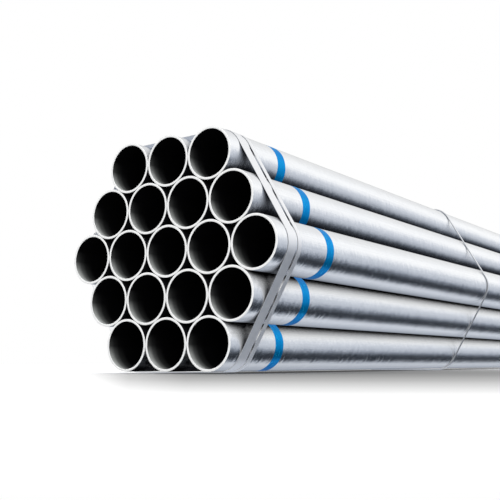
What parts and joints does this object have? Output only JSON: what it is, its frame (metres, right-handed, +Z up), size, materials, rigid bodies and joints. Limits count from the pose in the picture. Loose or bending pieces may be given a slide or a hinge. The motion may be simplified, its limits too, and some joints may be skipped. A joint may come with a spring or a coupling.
{
  "type": "hexagonal bundle of round steel tubes",
  "caption": "Galvanised round steel tubes stacked as a hexagonal bundle, held by flat steel straps near the ends and by round wire ties.",
  "frame": {"origin": "middle of the bundle's footprint, on the floor that it rests on", "axes": "+Y along the tubes, away from the pictured near ends; +Z up; +X to the right when the near ends are faced"},
  "size_m": [0.4532, 6, 0.4055],
  "materials": {
    "galvanised_tube": "hot-dip galvanised, fine drawn streaks and soft zinc mottling",
    "steel_strap": "bright zinc-coated flat strap, satin",
    "strap_seal": "crimped zinc-coated sheet, satin",
    "tie_wire": "annealed wire, thinly zinc coated, satin",
    "band_paint": "thin brushed-on blue colour-code paint, semi-gloss"
  },
  "bodies": {
    "root": {"tube_row1_1": "galvanised_tube", "tube_row1_2": "galvanised_tube", "tube_row1_3": "galvanised_tube", "tube_row2_1": "galvanised_tube", "tube_row2_2": "galvanised_tube", "tube_row2_3": "galvanised_tube", "tube_row2_4": "galvanised_tube", "tube_row3_1": "galvanised_tube", "tube_row3_2": "galvanised_tube", "tube_row3_3": "galvanised_tube", "tube_row3_4": "galvanised_tube", "tube_row3_5": "galvanised_tube", "tube_row4_1": "galvanised_tube", "tube_row4_2": "galvanised_tube", "tube_row4_3": "galvanised_tube", "tube_row4_4": "galvanised_tube", "tube_row5_1": "galvanised_tube", "tube_row5_2": "galvanised_tube", "tube_row5_3": "galvanised_tube", "strap_wide_near": "steel_strap", "strap_narrow_near": "steel_strap", "seal_wide_near": "strap_seal", "seal_narrow_near": "strap_seal", "strap_wide_far": "steel_strap", "strap_narrow_far": "steel_strap", "seal_wide_far": "strap_seal", "seal_narrow_far": "strap_seal", "wire_tie_near": "tie_wire", "wire_tie_middle": "tie_wire", "wire_tie_far": "tie_wire"}
  },
  "joints": []
}
